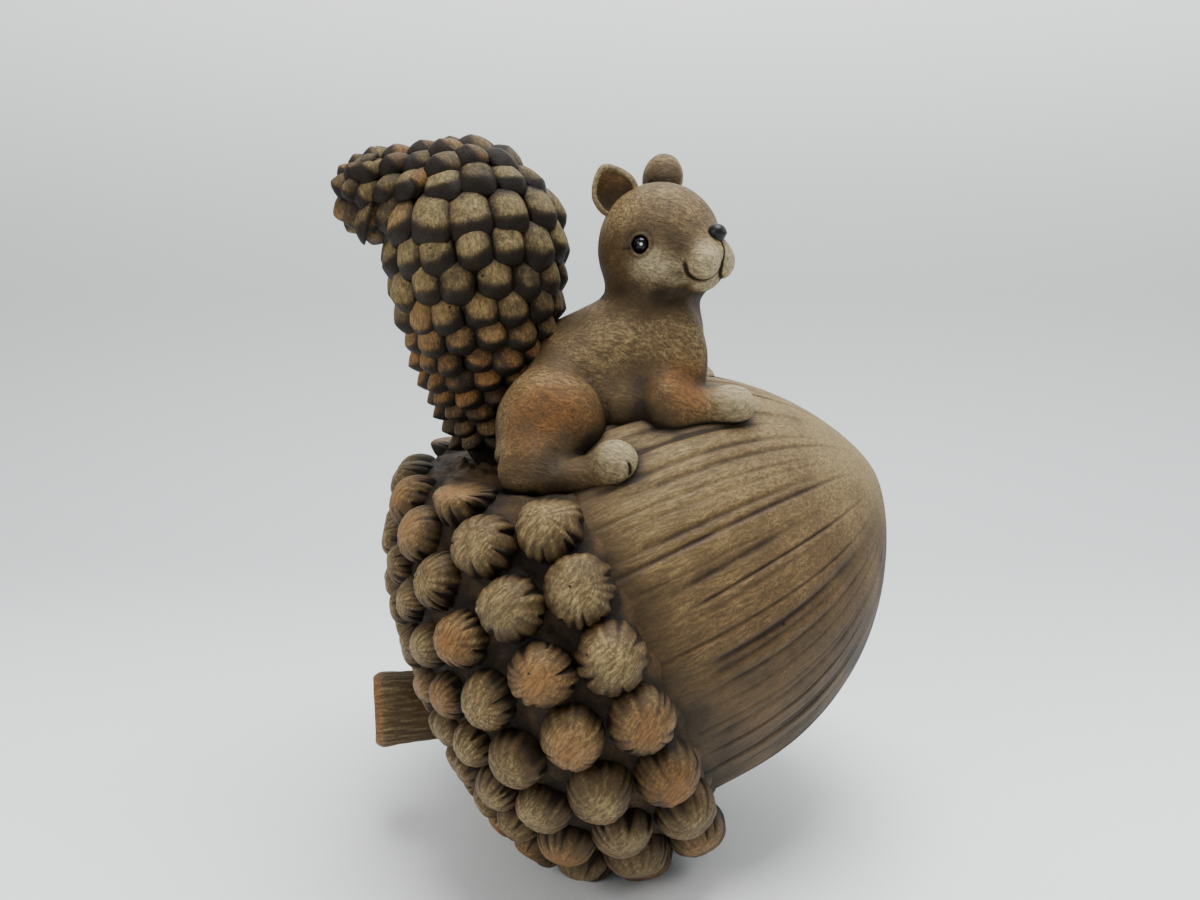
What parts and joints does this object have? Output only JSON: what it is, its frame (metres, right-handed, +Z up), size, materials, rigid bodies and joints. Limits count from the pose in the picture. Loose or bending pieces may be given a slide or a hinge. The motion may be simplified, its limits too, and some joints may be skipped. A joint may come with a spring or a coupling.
{
  "type": "squirrel figurine",
  "caption": "Cast squirrel with a pine cone tail, crouching over a large tilted acorn with a knobbed cup and a short stem.",
  "frame": {"origin": "on the flat base, under the centre of the acorn cup's rim", "axes": "+Z up, +X the way that the squirrel's body faces, +Y to the squirrel's left; the nut's tip points to +X and up, and the stem to -X"},
  "size_m": [0.2713, 0.2601, 0.3439],
  "materials": {
    "nut": "matte",
    "cup": "matte",
    "knobs": "matte",
    "stem": "matte",
    "scales": "matte",
    "tail_core": "matte",
    "fur": "matte",
    "paw": "matte",
    "bead": "gloss"
  },
  "bodies": {
    "root": {"body": "fur", "cup_knobs_row_1": "knobs", "cup_knobs_row_2": "knobs", "cup_knobs_row_3": "knobs", "cup_knobs_row_4": "knobs", "cup_knobs_row_5": "knobs", "cup_knobs_row_6": "knobs", "cup_knobs_row_7": "knobs", "cup_shell": "cup", "ear_left": "fur", "ear_right": "fur", "eye_left": "bead", "eye_right": "bead", "foreleg_left": "fur", "foreleg_right": "fur", "forepaw_left": "paw", "forepaw_right": "paw", "haunch_left": "fur", "haunch_right": "fur", "head": "fur", "hind_foot_left": "fur", "hind_foot_right": "fur", "nose": "bead", "nut_shell": "nut", "stem": "stem", "tail_core": "tail_core", "tail_scales_row_01": "scales", "tail_scales_row_02": "scales", "tail_scales_row_03": "scales", "tail_scales_row_04": "scales", "tail_scales_row_05": "scales", "tail_scales_row_06": "scales", "tail_scales_row_07": "scales", "tail_scales_row_08": "scales", "tail_scales_row_09": "scales", "tail_scales_row_10": "scales", "tail_scales_row_11": "scales", "tail_scales_row_12": "scales", "tail_scales_row_13": "scales", "tail_tip_scales_row_1": "scales", "tail_tip_scales_row_2": "scales", "tail_tip_scales_row_3": "scales"}
  },
  "joints": []
}
